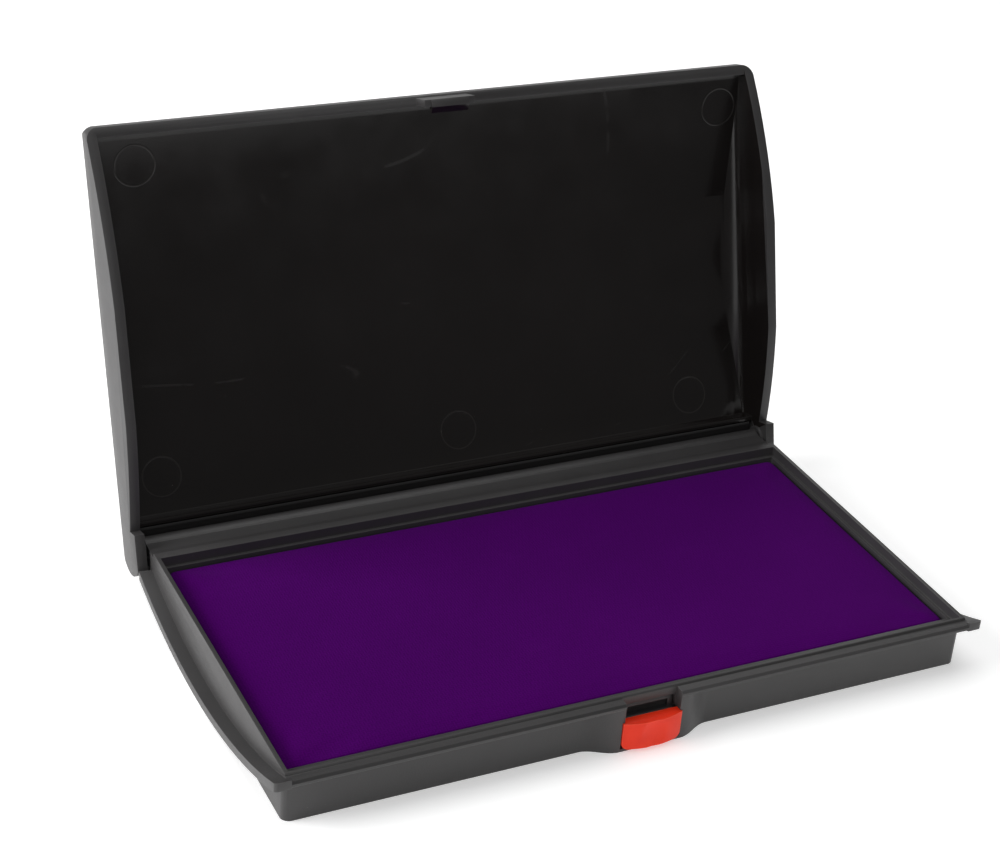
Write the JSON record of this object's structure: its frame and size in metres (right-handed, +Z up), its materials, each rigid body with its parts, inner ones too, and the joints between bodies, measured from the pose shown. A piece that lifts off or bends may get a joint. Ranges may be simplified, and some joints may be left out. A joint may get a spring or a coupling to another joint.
{
  "type": "ink pad",
  "caption": "Wide desk ink pad in a low black plastic case: inked cloth cushion, domed hinged cover standing open and a red press button at the front.",
  "frame": {"origin": "centre of the flat underside, directly below the centre of the inked cushion", "axes": "+Z up, +Y from the button towards the hinge, +X to the right as seen from the button"},
  "size_m": [0.1648, 0.1257, 0.0989],
  "materials": {
    "case_plastic": "fine satin spark-eroded grain, injection moulded",
    "cover_plastic": "fine satin grain outside, glossy inside, injection moulded",
    "latch_plastic": "smooth satin",
    "tray_plastic": "smooth satin",
    "button_plastic": "semi-gloss",
    "ink_felt": "dense wool felt soaked in violet ink",
    "ink_foam": "fine open-cell sponge soaked in violet ink",
    "ink_cloth": "fine tight weave soaked in violet ink",
    "pin_steel": "drawn wire",
    "spring_steel": "drawn spring wire"
  },
  "bodies": {
    "base": {"base_shell": "case_plastic", "bay_cover": "latch_plastic", "pad_tray": "tray_plastic", "felt_reservoir": "ink_felt", "distribution_foam": "ink_foam", "ink_cloth": "ink_cloth", "hinge_pin_left": "pin_steel", "hinge_pin_right": "pin_steel", "button_spring_left": "spring_steel", "button_spring_right": "spring_steel"},
    "lid": {"lid_shell": "cover_plastic"},
    "button": {"latch_slide": "latch_plastic", "release_button": "button_plastic"}
  },
  "joints": [
    {"name": "lid_hinge", "type": "hinge", "parent": "base", "child": "lid", "pos_m": [0, 0.04855, 0.00943], "axis": [1, 0, 0], "range_deg": [0, 105.6]},
    {"name": "button_press", "type": "slide", "parent": "base", "child": "button", "axis": [0, 1, 0], "range_m": [0, 0.001], "stiffness_N_per_m": 2000, "deforming": ["button_spring_left", "button_spring_right"]}
  ]
}
